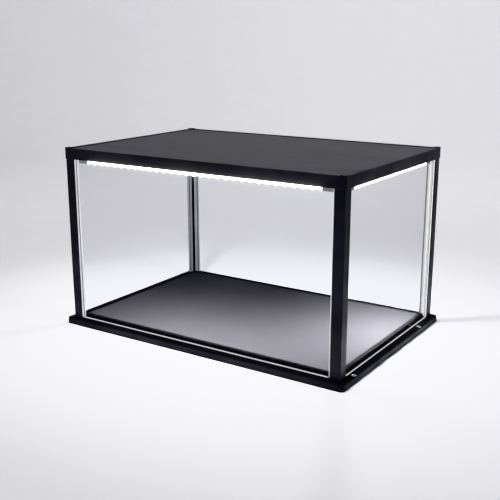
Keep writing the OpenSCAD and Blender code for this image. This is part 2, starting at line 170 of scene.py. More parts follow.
class DisplayBoxSizes(bpy.types.PropertyGroup):
    """Roundings and wall thicknesses of the display box's pieces."""

    base_corner: length("Base corner", "Corner radius of the base board, seen from above", 0.008)
    base_edge: length("Base edge", "Rounding of the base board's top edge", 0.003)
    floor_corner: length("Floor corner", "Corner radius of the floor panel", 0.003)
    floor_edge: length("Floor edge", "Rounding of the floor panel's top edge", 0.0008)
    arris: length("Arris", "Small bevel on sheet and strip edges", 0.0004)
    post_wall: length("Post wall", "Thickness of a corner post's two legs", 0.0015)
    post_edge: length("Post edge", "Rounding of a corner post's outer edge", 0.0008)
    bead_round: length("Bead rounding", "Rounding of the glazing beads' inner edges", 0.0012)
    seal_web: length("Seal web", "Thickness of a pane seal under the glass", 0.001)
    seal_lip_out: length("Seal outer lip", "Thickness of a pane seal's outer lip", 0.0008)
    seal_lip_in: length("Seal inner lip", "Thickness of a pane seal's inner lip", 0.0012)
    rail_wall: length("Rail wall", "Wall of the hollow lid rails", 0.002)
    rail_edge: length("Rail edge", "Rounding of the lid rails' outer edges", 0.0015)
    lid_corner: length("Lid corner", "Corner radius of the lid, seen from above", 0.003)
    cap_clearance: length("Cap clearance", "Play of a corner cap in its recess", 0.0002)
    bar_wall: length("Bar wall", "Wall of the light bars' diffusers", 0.001)
    bar_round: length("Bar rounding", "Rounding of the diffusers' lower edges", 0.0015)
    eyelet_bore: length("Eyelet bore", "Radius of the hole through a screw eyelet", 0.0023)
    eyelet_barrel: length("Eyelet barrel", "Outer radius of an eyelet's barrel", 0.003)
    eyelet_flange: length("Eyelet flange", "Outer radius of an eyelet's rolled flange", 0.0045)
    eyelet_flange_t: length("Eyelet flange height", "Height of an eyelet's rolled flange", 0.0014)
    socket_bore: length("Socket bore", "Radius of the power inlet's socket", 0.00275)
    socket_barrel: length("Socket barrel", "Outer radius of the power inlet's barrel", 0.004)
    socket_flange_t: length("Socket flange", "Thickness of the power inlet's flange", 0.0012)
    socket_pin: length("Socket pin", "Radius of the power inlet's centre pin", 0.001)


class DisplayBoxFinishes(bpy.types.PropertyGroup):
    """Colours of the display box's finishes."""

    frame_black: colour("Frame", "Powder coat on posts, rails and caps", (0.0325, 0.0323, 0.0365))
    board_black: colour("Base board", "Lacquer on the base board", (0.0222, 0.0221, 0.0242))
    floor_grey: colour("Floor panel", "Satin laminate on the floor panel", (0.0456, 0.0450, 0.0490))
    top_grey: colour("Lid panel", "Satin laminate on the lid panel", (0.0495, 0.0493, 0.0545))
    glass_tint: colour("Glass", "Tint of the clear panes", (0.928, 0.934, 0.943))
    frosted: colour("Seals and beads", "Frosted silicone and acrylic strips", (0.62, 0.63, 0.65))
    light: colour("Light", "Colour of the light bars", (1.0, 0.985, 0.965))
    glow: number("Bar glow", "Brightness of the diffusers themselves", 18.0)
    chip_pitch: length("Chip pitch", "Distance between the chips of a light bar", 0.0166667)


class DisplayBoxStage(bpy.types.PropertyGroup):
    """Camera, lights and floor of the small studio."""

    camera_place: bpy.props.FloatVectorProperty(
        name="Camera",
        description="Where the camera stands",
        default=(0.86011, -1.32641, 0.56383),
        subtype="TRANSLATION",
        unit="LENGTH",
    )
    camera_tilt: angle("Tilt", "How far the camera looks down", 14.69)
    camera_turn: angle("Turn", "How far the camera is turned to the left", 33.18)
    camera_lens: number("Lens", "Focal length on a 36 mm sensor, in millimetres", 59.564, least=1.0)
    floor_colour: colour("Floor", "Paper of the studio sweep", (0.80, 0.80, 0.81))
    lamp_colour: colour("Lamps", "Colour of the lamps", (0.985, 0.972, 1.0))
    bar_power: power("Bar power", "Light that the bars shed on the table, for each metre", 4.5)
    pool_power: power("Pool power", "Light that the bars pool on the floor panel, for each metre", 10.8)
    inner_power: power("Inner power", "Light that leaves the case through its panes", 6.0)
    wash_power: power("Wash power", "Soft light on the backdrop", 31.0)
    fill_power: power("Fill power", "Soft light from the front left", 20.0)
    key_power: power("Key power", "Large soft light on the right", 21.5)
    top_power: power("Top power", "Large soft light overhead", 43.0)
    sky: number("Surround", "Even light from all round", 0.02)


# ---------------------------------------------------------------- modelling steps


def select_only(*pieces):
    """Object mode, with only these pieces selected and the first one active."""
    if bpy.context.mode != "OBJECT":
        bpy.ops.object.mode_set(mode="OBJECT")
    bpy.ops.object.select_all(action="DESELECT")
    for piece in pieces:
        piece.select_set(True)
    if pieces:
        bpy.context.view_layer.objects.active = pieces[0]


def start_edit(piece):
    """Edit mode on one piece."""
    select_only(piece)
    bpy.ops.object.mode_set(mode="EDIT")


def end_edit():
    """Object mode again, with the mesh brought up to date."""
    bpy.ops.object.mode_set(mode="OBJECT")


def just_added(name):
    """The object that an operator has just added, with its name set."""
    piece = bpy.context.object
    piece.name = piece.data.name = name
    return piece


def settle(piece):
    """Puts a piece's place, turn and scale into its mesh."""
    select_only(piece)
    bpy.ops.object.transform_apply(location=True, rotation=True, scale=True)
    return piece


def discard(piece):
    """Removes a helper shape that has done its work."""
    mesh = piece.data
    bpy.data.objects.remove(piece, do_unlink=True)
    bpy.data.meshes.remove(mesh)


def add_block(name, low, high):
    """A block between two opposite corners."""
    select_only()
    low, high = Vector(low), Vector(high)
    bpy.ops.mesh.primitive_cube_add(size=1, location=(low + high) / 2)
    block = just_added(name)
    block.scale = high - low
    return settle(block)


def add_rod(name, radius, foot, tip, sides=32):
    """An upright rod of a radius, between two points of its axis."""
    select_only()
    foot, tip = Vector(foot), Vector(tip)
    bpy.ops.mesh.primitive_cylinder_add(
        vertices=sides, radius=radius, depth=tip.z - foot.z, location=(foot + tip) / 2
    )
    return settle(just_added(name))


def middle_and_way(part):
    """The middle and direction of an edge, or the middle and normal of a face."""
    if isinstance(part, bmesh.types.BMFace):
        return part.calc_center_median(), part.normal
    a, b = (corner.co for corner in part.verts)
    return (a + b) / 2, (b - a).normalized()


def pick(piece, kind, test):
    """Edit mode, with the edges or faces selected whose middle and way pass a test."""
    start_edit(piece)
    bpy.ops.mesh.select_mode(type=kind)
    bpy.ops.mesh.select_all(action="DESELECT")
    shape = bmesh.from_edit_mesh(piece.data)
    parts = shape.edges if kind == "EDGE" else shape.faces
    found = [part for part in parts if test(*middle_and_way(part))]
    if not found:
        raise RuntimeError(f"no {kind.lower()} of {piece.name} passes the test")
    for part in found:
        part.select_set(True)
    bmesh.update_edit_mesh(piece.data)


def upright(middle, way):
    """True for an upright edge."""
    return abs(way.z) > ALONG


def lengthwise(middle, way):
    """True for an edge along X."""
    return abs(way.x) > ALONG


def level_at(height):
    """A test for level edges at a height."""
    return lambda middle, way: abs(way.z) < ACROSS and abs(middle.z - height) < NEAR


def outer_upright(middle, way):
    """True for the upright edge on the Z axis, the outer edge of a corner pattern."""
    return upright(middle, way) and middle.x < NEAR and middle.y < NEAR


def round_edges(piece, test, radius, steps):
    """Rounds the edges that pass a test."""
    pick(piece, "EDGE", test)
    bpy.ops.mesh.bevel(offset=radius, offset_type="OFFSET", segments=steps, affect="EDGES", clamp_overlap=True)
    end_edit()


def pull_faces(piece, test, move):
    """Extrudes the faces that pass a test."""
    pick(piece, "FACE", test)
    bpy.ops.mesh.extrude_region_move(TRANSFORM_OT_translate={"value": tuple(move)})
    end_edit()


def slice_at(piece, place, normal, **clear):
    """Cuts a piece along a plane, and can clear one side of it."""
    start_edit(piece)
    bpy.ops.mesh.select_all(action="SELECT")
    bpy.ops.mesh.bisect(plane_co=tuple(place), plane_no=tuple(normal), use_fill=bool(clear), **clear)
    end_edit()


def clean_flats(piece):
    """Joins the flat faces that slicing and pulling left in strips."""
    start_edit(piece)
    bpy.ops.mesh.select_all(action="SELECT")
    bpy.ops.mesh.remove_doubles(threshold=MERGE)
    bpy.ops.mesh.dissolve_limited(angle_limit=FLAT)
    bpy.ops.mesh.normals_make_consistent(inside=False)
    end_edit()


def combine(piece, tool, operation="DIFFERENCE"):
    """Cuts a piece with a tool shape, or keeps what they share, and removes the tool."""
    select_only(piece)
    bpy.ops.object.modifier_add(type="BOOLEAN")
    step = piece.modifiers[-1]
    step.operation, step.object, step.solver = operation, tool, "EXACT"
    bpy.ops.object.modifier_apply(modifier=step.name)
    discard(tool)


def drill(piece, radius, place, foot, tip, sides=32):
    """Cuts an upright round hole at a place, between two heights."""
    combine(piece, add_rod("drill", radius, (*place, foot), (*place, tip), sides))


def turn_profile(name, profile, steps=40, closed=True):
    """Turns (radius, height) points round the Z axis, one extruded ring for each point."""
    select_only()
    radius, height = profile[0]
    bpy.ops.mesh.primitive_circle_add(
        vertices=steps, radius=radius, fill_type="NOTHING" if closed else "NGON", location=(0, 0, height)
    )
    piece = settle(just_added(name))
    start_edit(piece)
    bpy.ops.mesh.select_mode(type="EDGE")
    bpy.ops.mesh.select_all(action="SELECT")
    for next_radius, next_height in profile[1:]:
        bpy.ops.mesh.extrude_edges_move(TRANSFORM_OT_translate={"value": (0, 0, next_height - height)})
        grow = next_radius / radius
        bpy.ops.transform.resize(value=(grow, grow, 1), center_override=(0, 0, next_height))
        radius, height = next_radius, next_height
    if closed:
        bpy.ops.mesh.select_all(action="DESELECT")
        bpy.ops.mesh.select_non_manifold()
        bpy.ops.mesh.bridge_edge_loops()
    bpy.ops.mesh.select_all(action="SELECT")
    bpy.ops.mesh.normals_make_consistent(inside=False)
    end_edit()
    return piece


def copy_of(pattern, name, place=(0, 0, 0), turns=0):
    """A copy with its own mesh, turned by quarter turns round the Z axis and moved."""
    select_only(pattern)
    bpy.ops.object.duplicate(linked=False)
    copy = just_added(name)
    copy.rotation_euler.z = QUARTER * turns
    copy.location = place
    return settle(copy)


def join(name, pieces):
    """Several shapes as one piece."""
    select_only(*pieces)
    bpy.ops.object.join()
    return just_added(name)


def facing_front(node, turns):
    """A node's lowest and highest corners, with its side of the box turned to the front."""
    turn = Matrix.Rotation(-QUARTER * turns, 3, "Z")
    a, b = (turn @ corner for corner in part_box(node))
    return Vector(map(min, a, b)), Vector(map(max, a, b))


def middle_of(node):
    """The middle of a node's box."""
    low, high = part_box(node)
    return (low + high) / 2


def outer_corner(node, x, y):
    """The corner of a node's box on the sides that two signs name."""
    low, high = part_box(node)
    return low.x if x < 0 else high.x, low.y if y < 0 else high.y, 0


def four_places(node, radius):
    """Middles of four like round solids, from the box of the node that holds them."""
    low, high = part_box(node)
    return [(x, y) for x in (low.x + radius, high.x - radius) for y in (low.y + radius, high.y - radius)]


def dress(piece, slot, body, *nodes):
    """Gives a finished piece its shading, its finish and its body, and hides the solids that it stands for."""
    select_only(piece)
    if slot != "clear_glass":
        bpy.ops.object.shade_smooth_by_angle(angle=SMOOTH)
        bpy.ops.object.modifier_add(type="WEIGHTED_NORMAL")
        piece.modifiers[-1].keep_sharp = True
        bpy.ops.object.modifier_apply(modifier=piece.modifiers[-1].name)
    if not piece.data.materials:
        piece.data.materials.append(finish(slot))
    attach(piece, body)
    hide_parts(*nodes)
    return piece


def rounded_sheet(name, node, corner, top_edge, foot_edge):
    """A sheet in a node's box with rounded corners and softened edges."""
    low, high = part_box(node)
    sheet = add_block(name, low, high)
    round_edges(sheet, upright, corner, steps=8)
    round_edges(sheet, level_at(high.z), top_edge, steps=5)
    round_edges(sheet, level_at(low.z), foot_edge, steps=2)
    return sheet


def channel(name, low, high, web, lip_out, lip_in):
    """A strip along the front with a web at its foot and two lips up from it."""
    strip = add_block(name, low, (high.x, high.y, low.z + web))
    for y in (low.y + lip_out, high.y - lip_in):
        slice_at(strip, (0, y, 0), (0, 1, 0))

    def lips(middle, normal):
        return normal.z > ALONG and not low.y + lip_out < middle.y < high.y - lip_in

    pull_faces(strip, lips, (0, 0, high.z - low.z - web))
    clean_flats(strip)
    return strip


# ---------------------------------------------------------------- shader nodes


BLACK = (0.0, 0.0, 0.0)
WHOLE = (0.0, 1.0)  # the whole range of a mask


def feed(tree, value, socket):
    """Links a value into a socket, or sets it there if it is a plain number or colour."""
    if isinstance(value, bpy.types.NodeSocket):
        tree.links.new(value, socket)
    else:
        socket.default_value = (*value, 1) if socket.type == "RGBA" else value


def feed_all(tree, node, **values):
    """Feeds several inputs of a node; an underscore stands for the space in an input's name."""
    for label, value in values.items():
        feed(tree, value, node.inputs[label.replace("_", " ")])


def math_node(tree, operation, *values):
    """A math node on sockets or numbers; gives its output."""
    node = tree.nodes.new("ShaderNodeMath")
    node.operation = operation
    for value, socket in zip(values, node.inputs):
        feed(tree, value, socket)
    return node.outputs[0]


def remap(tree, value, old, new, smooth=False):
    """Maps a range of values to another; gives the output."""
    node = tree.nodes.new("ShaderNodeMapRange")
    if smooth:
        node.interpolation_type = "SMOOTHSTEP"
    feed_all(tree, node, Value=value, From_Min=old[0], From_Max=old[1], To_Min=new[0], To_Max=new[1])
    return node.outputs["Result"]


def noise(tree, scale, detail, stretch=(1, 1, 1)):
    """Noise on Object coordinates; the scale is a socket or a number."""
    place = tree.nodes.new("ShaderNodeTexCoord")
    turn = tree.nodes.new("ShaderNodeMapping")
    grain = tree.nodes.new("ShaderNodeTexNoise")
    feed_all(tree, turn, Vector=place.outputs["Object"], Scale=stretch)
    feed_all(tree, grain, Vector=turn.outputs["Vector"], Scale=scale, Detail=detail)
    return grain.outputs["Fac"]


def place_axes(tree):
    """The place on a piece as three values, along X, Y and Z."""
    place = tree.nodes.new("ShaderNodeTexCoord")
    split = tree.nodes.new("ShaderNodeSeparateXYZ")
    tree.links.new(place.outputs["Object"], split.inputs[0])
    return split.outputs


def beyond(tree, half_x, half_y):
    """How far a place lies outside a rectangle round the middle of the box."""
    axes = place_axes(tree)
    x, y = (
        math_node(tree, "SUBTRACT", math_node(tree, "ABSOLUTE", axes[axis]), half)
        for axis, half in (("X", half_x), ("Y", half_y))
    )
    return math_node(tree, "MAXIMUM", x, y)


def mix_colours(tree, share, a, b):
    """A colour between two, by a share that varies over the surface."""
    mix = tree.nodes.new("ShaderNodeMix")
    mix.data_type = "RGBA"
    first, second = (socket for socket in mix.inputs if socket.type == "RGBA")
    for value, socket in ((share, mix.inputs[0]), (a, first), (b, second)):
        feed(tree, value, socket)
    return next(socket for socket in mix.outputs if socket.type == "RGBA")


def shade(rgb, factor):
    """A darker or lighter version of a colour."""
    return tuple(min(1.0, c * factor) for c in rgb)


def bump(tree, shader, height, strength, depth):
    """A shallow bump from a height on the shader's normal."""
    node = tree.nodes.new("ShaderNodeBump")
    feed_all(tree, node, Strength=strength, Distance=depth, Height=height)
    tree.links.new(node.outputs["Normal"], shader.inputs["Normal"])


# ---------------------------------------------------------------- shared shader groups


def coat_grain(group, given, out):
    """Fine grain of a coated or moulded surface, with a slow drift of tone."""
    grain = noise(group, given["Scale"], detail=3.0)
    drift = remap(group, noise(group, given["Drift scale"], detail=4.0), (0.3, 0.7), WHOLE, smooth=True)
    feed(group, grain, out["Height"])
    feed(group, drift, out["Drift"])


def handling_marks(group, given, out):
    """Wiped marks, as a mask."""
    wipe = noise(group, given["Scale"], detail=5.0, stretch=(1.0, 2.6, 1.4))
    soft_edge = 0.28
    full = math_node(group, "ADD", given["Cover"], soft_edge)
    feed(group, remap(group, wipe, (given["Cover"], full), WHOLE, smooth=True), out["Marks"])


def satin_lines(group, given, out):
    """Long fine lines of a satin sheet, along X."""
    lines = noise(group, given["Scale"], detail=2.0, stretch=(0.05, 1.0, 1.0))
    feed(group, remap(group, lines, (0.2, 0.8), WHOLE), out["Lines"])


def chip_glow(group, given, out):
    """Light of a bar: a bright spot under each chip and dark ends, from the place along the bar."""
    turns = math_node(group, "DIVIDE", given["Along"], given["Pitch"])
    wave = math_node(group, "COSINE", math_node(group, "MULTIPLY", turns, 2 * math.pi))
    sharpness = 5.0  # how narrow the bright spots are
    peaks = math_node(group, "POWER", remap(group, wave, (-1.0, 1.0), WHOLE), sharpness)
    spots = remap(group, peaks, WHOLE, (given["Between"], given["Under"]))
    end = math_node(group, "ADD", given["Half length"], FADE)
    from_middle = math_node(group, "ABSOLUTE", given["Along"])
    lit = remap(group, from_middle, (given["Half length"], end), (1.0, 0.0), smooth=True)
    share = math_node(group, "MULTIPLY", spots, lit)
    feed(group, mix_colours(group, share, BLACK, given["Light"]), out["Glow"])


# What fills each group, its inputs with their usual values, and its outputs.
GROUPS = {
    "Coat grain": (coat_grain, {"Scale": 1400.0, "Drift scale": 14.0}, ("Height", "Drift")),
    "Handling marks": (handling_marks, {"Scale": 9.0, "Cover": 0.45}, ("Marks",)),
    "Satin lines": (satin_lines, {"Scale": 900.0}, ("Lines",)),
    "Chip glow": (
        chip_glow,
        {
            "Along": 0.0,
            "Pitch": 0.0166667,
            "Half length": 0.25,
            "Between": 0.35,
            "Under": 1.0,
            "Light": (1.0, 1.0, 1.0, 1.0),
        },
        ("Glow",),
    ),
}
COLOUR_SOCKETS = ("Light", "Glow")


def shared_group(name):
    """A shared shader group, built the first time that it is asked for."""
    if name in bpy.data.node_groups:
        return bpy.data.node_groups[name]
    fill, inputs, outputs = GROUPS[name]
    group = bpy.data.node_groups.new(name, "ShaderNodeTree")
    for in_out, labels in (("INPUT", inputs), ("OUTPUT", outputs)):
        for label in labels:
            kind = "NodeSocketColor" if label in COLOUR_SOCKETS else "NodeSocketFloat"
            socket = group.interface.new_socket(label, in_out=in_out, socket_type=kind)
            if in_out == "INPUT":
                socket.default_value = inputs[label]
    given, out = group.nodes.new("NodeGroupInput"), group.nodes.new("NodeGroupOutput")
    fill(group, given.outputs, out.inputs)
    return group


def place_group(tree, name, **values):
    """Places a shared group with its own values; gives its outputs."""
    node = tree.nodes.new("ShaderNodeGroup")
    node.node_tree = shared_group(name)
    feed_all(tree, node, **values)
    return node.outputs


# ---------------------------------------------------------------- finishes


def start_finish(slot):
    """A new material, its node tree and its shader."""
    material = bpy.data.materials.new(slot + "_finish")
    material.use_nodes = True
    return material, material.node_tree, material.node_tree.nodes["Principled BSDF"]


def coated(
    slot,
    rgb,
    rough=(0.40, 0.52),
    grain=1400.0,
    depth=0.00006,
    strength=0.25,
    spread=(0.75, 1.25),
    metallic=0.0,
    specular=0.5,
):
    """A coated, moulded or sheathed finish with fine grain, a drift of tone and handling marks."""
    material, tree, shader = start_finish(slot)
    surface = place_group(tree, "Coat grain", Scale=grain)
    marks = place_group(tree, "Handling marks")
    feed_all(
        tree,
        shader,
        Base_Color=mix_colours(tree, surface["Drift"], *(shade(rgb, factor) for factor in spread)),
        Roughness=remap(tree, marks["Marks"], WHOLE, rough),
        Metallic=metallic,
        Specular_IOR_Level=specular,
    )
    bump(tree, shader, surface["Height"], strength, depth)
    return material


def studio_paper(rgb):
    """Matt paper of the studio sweep, painted darker in a pane's mirror image, which dims the panes' reflection."""
    material = coated(
        "studio_paper", rgb, rough=(0.85, 0.95), grain=300.0, strength=0.02, spread=(0.985, 1.0), specular=0.1
    )
    tree = material.node_tree
    base = tree.nodes["Principled BSDF"].inputs["Base Color"]
    path = tree.nodes.new("ShaderNodeLightPath")
    # Straight through a pane is two bounces, so an odd number means a mirror image.
    odd = math_node(tree, "MODULO", path.outputs["Ray Depth"], 2.0)
    mirrored = math_node(tree, "MULTIPLY", odd, path.outputs["Is Singular Ray"])
    # Painted reflection: the paper takes a darker colour where a pane mirrors it.
    feed(tree, mix_colours(tree, mirrored, base.links[0].from_socket, shade(rgb, MIRRORED)), base)
    return material


def satin_sheet(slot, rgb, rough, specular, half, painted_shade_width):
    """A satin sheet with long fine lines, a few wiped marks and a black band round its edge, painted shade for the
    shaded gap along it.
    """
    material, tree, shader = start_finish(slot)
    lines = place_group(tree, "Satin lines")
    marks = place_group(tree, "Handling marks", Scale=5.0)
    dark_line, pale_line, painted_shade_black = shade(rgb, 0.96), shade(rgb, 1.04), (0.004, 0.004, 0.0045)
    face = mix_colours(tree, lines["Lines"], dark_line, pale_line)
    soft_edge = 0.0004
    # Painted shade: a black band round the sheet's edge stands in for the shaded gap beside it.
    rim = remap(tree, beyond(tree, half[0] - painted_shade_width, half[1] - painted_shade_width), (0.0, soft_edge), WHOLE)
    feed_all(
        tree,
        shader,
        Base_Color=mix_colours(tree, rim, face, painted_shade_black),
        Roughness=remap(tree, marks["Marks"], WHOLE, rough),
        Specular_IOR_Level=specular,
    )
    bump(tree, shader, lines["Lines"], strength=0.03, depth=0.000005)
    return material


def clear_glass(slot):
    """Clear glass with a low-reflection coat, which lets the light of the bars and lamps pass."""
    tint = bpy.context.scene.box_finishes.glass_tint
    wiped, passing = shade(tint, 0.99), shade(tint, 0.97)
    material, tree, shader = start_finish(slot)
    marks = place_group(tree, "Handling marks", Scale=6.0, Cover=0.5)
    feed_all(
        tree,
        shader,
        Base_Color=mix_colours(tree, marks["Marks"], tint, wiped),
        Roughness=0.0,
        IOR=1.2,
        Specular_IOR_Level=0.08,
        Transmission_Weight=1.0,
    )
    through = tree.nodes.new("ShaderNodeBsdfTransparent")
    feed_all(tree, through, Color=passing)
    path = tree.nodes.new("ShaderNodeLightPath")
    either = math_node(tree, "MAXIMUM", path.outputs["Is Shadow Ray"], path.outputs["Is Diffuse Ray"])
    mix = tree.nodes.new("ShaderNodeMixShader")
    for value, socket in zip((either, shader.outputs[0], through.outputs[0]), mix.inputs):
        tree.links.new(value, socket)
    tree.links.new(mix.outputs[0], tree.nodes["Material Output"].inputs["Surface"])
    return material


def frosted(slot):
    """Frosted strip: pale, with a dull line along its inner edge, and a painted glow where a bar would light it."""
    look = bpy.context.scene.box_finishes
    dark_tone, pale_tone, line_tone = (shade(look.frosted, factor) for factor in (0.88, 1.08, 0.3))
    material, tree, shader = start_finish(slot)
    grain = place_group(tree, "Coat grain", Scale=700.0, Drift_scale=30.0)
    axes = place_axes(tree)
    post, (bead_low, bead_high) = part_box("post_br")[1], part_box("bead_x_br")
    x, y = (
        math_node(tree, "SUBTRACT", face, math_node(tree, "ABSOLUTE", axes[axis]))
        for axis, face in (("X", post.x), ("Y", post.y))
    )
    inward = math_node(tree, "MAXIMUM", x, y)
    outer_edge, inner_edge = post.x - bead_high.x, post.x - bead_low.x
    # The dull line fades in over the first pair of distances from the inner edge, and out over the second.
    starts, ends = ([inner_edge - back for back in pair] for pair in ((0.0042, 0.0034), (0.0014, 0.0006)))
    dull = math_node(
        tree, "MULTIPLY", remap(tree, inward, starts, WHOLE), remap(tree, inward, ends, (1.0, 0.0))
    )
    face = mix_colours(tree, grain["Drift"], dark_tone, pale_tone)
    # Painted light: the strips glow where the front and right bars would light them, fading with distance from each
    # bar.
    reach, unlit = (-0.1, 0.1), 0.06  # where a bar's light on the strips fades away, and what is left of it
    front = remap(tree, axes["Y"], reach, (1.0, unlit), smooth=True)
    right = remap(tree, axes["X"], reach, (unlit, 0.8), smooth=True)
    # The painted glow is brightest by the post, and halves between these two distances from the outer edge.
    halves = [outer_edge + off for off in (0.003, 0.006)]
    by_post = remap(tree, inward, halves, (1.0, 0.5), smooth=True)
    lit = math_node(tree, "MULTIPLY", math_node(tree, "MAXIMUM", front, right), by_post)
    lit = math_node(tree, "MULTIPLY", lit, remap(tree, dull, WHOLE, (1.0, 0.15)))
    feed_all(
        tree,
        shader,
        Base_Color=mix_colours(tree, dull, face, line_tone),
        Roughness=remap(tree, grain["Drift"], WHOLE, (0.45, 0.62)),
        Emission_Color=mix_colours(tree, lit, BLACK, look.light),
        Emission_Strength=1.1,
    )
    bump(tree, shader, grain["Height"], strength=0.2, depth=0.00005)
    return material


def seal_strip(slot):
    """Clear seal: dark over the black board, with a pale outer lip along the foot of the glass that glows with
    painted light from the bars.
    """
    look = bpy.context.scene.box_finishes
    material, tree, shader = start_finish(slot)
    grain = place_group(tree, "Coat grain", Scale=700.0, Drift_scale=30.0)
    past_glass = beyond(tree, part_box("glass_right")[1].x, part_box("glass_back")[1].y)
    soft_edge, over_board = 0.0001, (0.03, 0.03, 0.032)
    outside = remap(tree, past_glass, (0.0, soft_edge), WHOLE)
    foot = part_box("pane_seal_front")[0].z
    lip_start, lip_full = foot + 0.0010, foot + 0.0016
    raised = remap(tree, place_axes(tree)["Z"], (lip_start, lip_full), WHOLE, smooth=True)
    lip = math_node(tree, "MULTIPLY", outside, raised)
    feed_all(
        tree,
        shader,
        Base_Color=mix_colours(tree, lip, over_board, look.frosted),
        Roughness=remap(tree, grain["Drift"], WHOLE, (0.45, 0.62)),
        # Painted light: the outer lip glows faintly, though it is no lamp.
        Emission_Color=mix_colours(tree, lip, BLACK, look.light),
        Emission_Strength=0.25,
        Specular_IOR_Level=0.2,
    )
    bump(tree, shader, grain["Height"], strength=0.2, depth=0.00005)
    return material


def lit_diffuser(slot, axis, half):
    """Opal diffuser: bright under each chip, dull at its ends, with a scalloped lower edge."""
    look = bpy.context.scene.box_finishes
    material, tree, shader = start_finish(slot)
    axes = place_axes(tree)
    low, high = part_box("diffuser_front")
    foot, under_full, between_start, between_full = (
        low.z + part * (high.z - low.z) for part in (0.0, 0.1, 0.2, 0.4)
    )
    glow = place_group(
        tree,
        "Chip glow",
        Along=axes[axis],
        Pitch=look.chip_pitch,
        Half_length=half,
        Between=remap(tree, axes["Z"], (between_start, between_full), (0.012, 0.7)),
        Under=remap(tree, axes["Z"], (foot, under_full), (0.1, 1.0)),
        Light=look.light,
    )
    grain = place_group(tree, "Coat grain", Scale=900.0)
    feed_all(
        tree,
        shader,
        Base_Color=mix_colours(tree, grain["Drift"], (0.44, 0.44, 0.45), (0.50, 0.50, 0.51)),
        Roughness=remap(tree, grain["Drift"], WHOLE, (0.38, 0.5)),
        Emission_Color=glow["Glow"],
        Emission_Strength=look.glow,
    )
    return material


def chip_face(slot):
    """Lit chips of the light tape."""
    look = bpy.context.scene.box_finishes
    material, tree, shader = start_finish(slot)
    grain = place_group(tree, "Coat grain", Scale=2500.0, Drift_scale=300.0)
    feed_all(
        tree,
        shader,
        Base_Color=mix_colours(tree, grain["Drift"], (0.85, 0.75, 0.35), (0.9, 0.82, 0.45)),
        Emission_Color=mix_colours(tree, grain["Drift"], shade(look.light, 0.9), look.light),
        Emission_Strength=2.0,
    )
    return material


def finish(slot):
    """The material of a record slot, made once."""
    name = slot + "_finish"
    if name in bpy.data.materials:
        return bpy.data.materials[name]
    look = bpy.context.scene.box_finishes
    own = {"clear_glass": clear_glass, "frosted_seal": seal_strip, "frosted_bead": frosted, "led_chip": chip_face}
    sheets = {
        "grey_floor": dict(
            rgb=look.floor_grey, rough=(0.57, 0.62), specular=0.06, half=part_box("floor_panel")[1], painted_shade_width=0.008
        ),
        "grey_top": dict(
            rgb=look.top_grey, rough=(0.54, 0.58), specular=0.22, half=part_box("lid_panel")[1], painted_shade_width=0.0005
        ),
    }
    metal = dict(spread=(0.9, 1.1), metallic=1.0)
    coats = {
        "black_board": dict(rgb=look.board_black, rough=(0.42, 0.54), grain=900.0, specular=0.03),
        "bright_steel": dict(rgb=(0.86, 0.86, 0.87), rough=(0.20, 0.30), grain=2200.0, **metal),
        "black_frame": dict(rgb=look.frame_black, specular=0.06),
        "black_cap": dict(rgb=shade(look.frame_black, 0.8), rough=(0.45, 0.6), grain=1800.0, specular=0.06),
        "glazing_tape": dict(rgb=(0.05, 0.05, 0.052), rough=(0.7, 0.85), grain=600.0, depth=0.0002),
        "plain_aluminium": dict(rgb=(0.75, 0.75, 0.76), rough=(0.3, 0.42), grain=900.0, **metal),
        "white_tape": dict(rgb=(0.8, 0.8, 0.79), rough=(0.45, 0.55), grain=700.0, spread=(0.95, 1.05)),
        "grey_plastic": dict(rgb=(0.32, 0.32, 0.33), rough=(0.45, 0.6), grain=1000.0, spread=(0.9, 1.1)),
        "black_plastic": dict(rgb=(0.015, 0.015, 0.016), rough=(0.38, 0.5), grain=1200.0),
        "lead_sheath": dict(rgb=(0.03, 0.03, 0.032), rough=(0.5, 0.62), grain=800.0),
    }
    if slot in own:
        return own[slot](slot)
    if slot in sheets:
        return satin_sheet(slot, **sheets[slot])
    return coated(slot, **coats[slot])


# ---------------------------------------------------------------- pieces


class DISPLAYBOX_OT_base_board(bpy.types.Operator):
    """Base board with rounded edges, seats for the screw eyelets and holes for the post screws"""

    bl_idname = "display_box.base_board"
    bl_label = "Base Board"

    def execute(self, context):
        sizes = context.scene.box_sizes
        board = rounded_sheet("base_board_piece", "base_board", sizes.base_corner, sizes.base_edge, sizes.arris)
        low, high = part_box("base_board")
        under, over = low.z - OVERLAP, high.z + OVERLAP
        play = sizes.cap_clearance
        for place in four_places("screw_eyelets", sizes.eyelet_flange):
            drill(board, sizes.eyelet_flange + play, place, high.z - SEAT_DEPTH, over, sides=48)
            drill(board, sizes.eyelet_barrel + play, place, under, over, sides=48)
        for place in four_places("post_screws", SCREW_HEAD):
            drill(board, SCREW_HEAD + play, place, under, low.z + SCREW_HEAD_DEPTH)
            drill(board, SCREW_HOLE, place, under, over)
        dress(board, "black_board", "case", "base_board")
        return {"FINISHED"}


class DISPLAYBOX_OT_floor_panel(bpy.types.Operator):
    """Satin floor panel inside the box"""

    bl_idname = "display_box.floor_panel"
    bl_label = "Floor Panel"

    def execute(self, context):
        sizes = context.scene.box_sizes
        panel = rounded_sheet(
            "floor_panel_piece", "floor_panel", sizes.floor_corner, sizes.floor_edge, sizes.arris / 2
        )
        dress(panel, "grey_floor", "case", "floor_panel")
        return {"FINISHED"}


